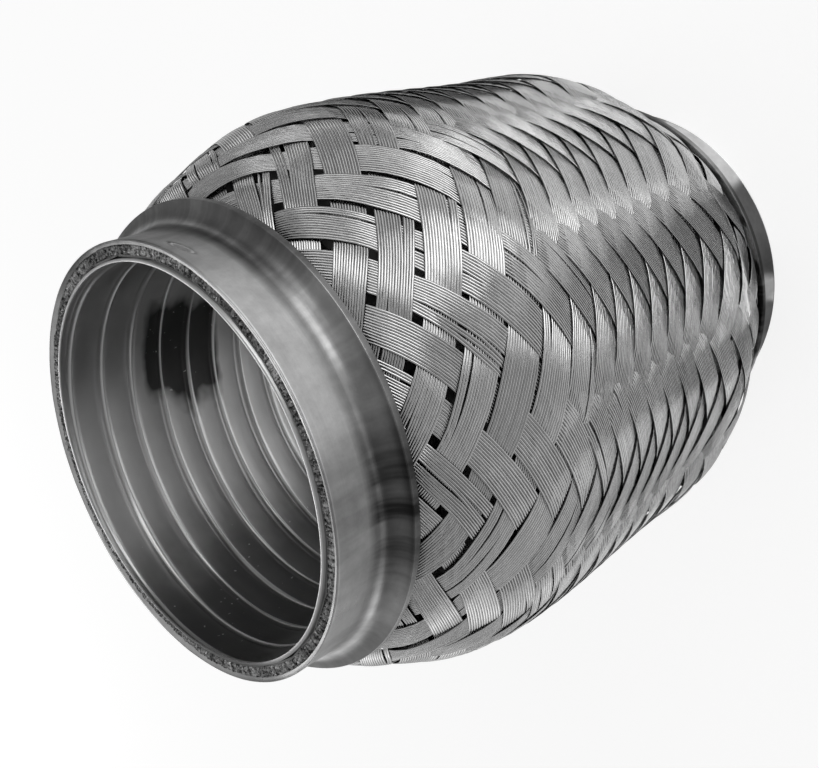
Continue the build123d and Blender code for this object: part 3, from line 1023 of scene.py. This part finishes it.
# Flat round piece of the stage from the radii of its rings, with an empty material. A filled one
# also has a face inside its first ring.
def addDisc(name, rings, level, finishName, filled=False):
    angle = np.linspace(0, 2 * np.pi, stage["sides"] + 1)[:-1]
    rings = np.array(rings)[:, None]
    points = roundPoints(rings, angle, np.full((len(rings), len(angle)), level))
    faces = gridFaces(len(rings), len(angle), closed=True).tolist()
    if filled:
        faces.append(list(range(len(angle)))[::-1])
    mesh = bpy.data.meshes.new(name)
    mesh.from_pydata(points.reshape(-1, 3).tolist(), [], faces)
    piece = bpy.data.objects.new(name, mesh)
    show(piece)
    finish = bpy.data.materials.new(finishName)
    finish.use_nodes = True
    finish.node_tree.nodes.clear()
    mesh.materials.append(finish)
    return piece, finish.node_tree


# Matt shader of one grey tone.
def mattGrey(tree, tone):
    return addNode(tree, "BsdfDiffuse", {"Color": (tone, tone, tone, 1)}).outputs[0]


# Surface that goes from one shader to another by a share.
def mixSurface(tree, share, first, second):
    both = addNode(tree, "MixShader", {0: share, 1: first, 2: second})
    addNode(tree, "OutputMaterial", {"Surface": both.outputs[0]})


# Pale floor. The camera and reflections see a glow plus a matt grey that takes shadows, so that it
# looks white, and all other light meets a plain matt floor.
def addFloor():
    _, tree = addDisc("floor", stage["floorRings"], stage["floorLevel"], "paleFloor", filled=True)
    ray = addNode(tree, "LightPath").outputs
    seen = calc(tree, "MAXIMUM", ray["Is Camera Ray"],
                calc(tree, "MAXIMUM", ray["Is Glossy Ray"], ray["Is Transmission Ray"]))
    glow = addNode(tree, "Emission", {"Color": (1, 1, 1, 1), "Strength": stage["floorGlow"]})
    matt = mattGrey(tree, stage["floorTone"])
    shown = addNode(tree, "AddShader", {0: glow.outputs[0], 1: matt}).outputs[0]
    mixSurface(tree, seen, mattGrey(tree, stage["floorPlain"]), shown)


# Dark card on the floor round the pipe, which only reflections see. Its share of black is the
# greatest of the ring's and the petals' own, and fades farther out.
def addFootShade():
    card, tree = addDisc("footShade", stage["cardRings"], stage["cardLevel"], "softBlack")
    card.visible_camera = card.visible_diffuse = card.visible_shadow = False
    away = calcVector(tree, "LENGTH", {0: place(tree)})
    near = spread(tree, away, *stage["shadeNear"], stage["shadeAtFoot"], 1.0)
    share = times(tree, near, spread(tree, away, *stage["shadeFar"], stage["shade"], 0.0))
    around = roundPlace(tree, 1.0, 0.0)
    edge = stage["petalEdge"]
    for azimuth, reach, dark, first, last in stage["petals"]:
        petal = azimuthShare(tree, around, azimuth, reach, stage["petalCore"])
        petal = times(tree, petal, spread(tree, away, first - edge, first, 0.0, 1.0))
        petal = times(tree, petal, spread(tree, away, last, last + edge, dark, 0.0))
        share = calc(tree, "MAXIMUM", share, petal)
    clear = addNode(tree, "BsdfTransparent").outputs[0]
    mixSurface(tree, share, clear, mattGrey(tree, stage["cardTone"]))


# Rectangular lamp turned to the pipe. Its power is the radiance times pi times its area.
def addLamp(name, spot, width, height, radiance):
    data = bpy.data.lights.new(name, "AREA")
    data.shape, data.size, data.size_y = "RECTANGLE", width, height
    data.energy = radiance * math.pi * width * height
    lamp = bpy.data.objects.new(name, data)
    lamp.location = spot
    toPipe = Vector(stage["lampAim"]) - Vector(spot)
    lamp.rotation_euler = toPipe.to_track_quat("-Z", "Y").to_euler()
    lamp.visible_camera = False
    show(lamp)


# World that grows lighter from the horizon up along a straight line, and is white to the camera.
def lightWorld():
    world = bpy.data.worlds.new("softRoom")
    world.use_nodes = True
    tree = world.node_tree
    tree.nodes.clear()
    _, _, z = separate(tree, addNode(tree, "TexCoord").outputs["Generated"])
    tone = spread(tree, z, 0.0, stage["worldRise"], *stage["worldTone"])
    seen = addNode(tree, "LightPath").outputs["Is Camera Ray"]
    tone = calc(tree, "MAXIMUM", tone, seen)
    glow = addNode(tree, "Background", {"Color": tone, "Strength": 1.0})
    addNode(tree, "OutputWorld", {"Surface": glow.outputs[0]})
    bpy.context.scene.world = world


addFloor()
addFootShade()
for name, settings in lamps.items():
    addLamp(name, *settings)
lightWorld()
bpy.context.scene.view_settings.view_transform = "Standard"
print("floor and light set")
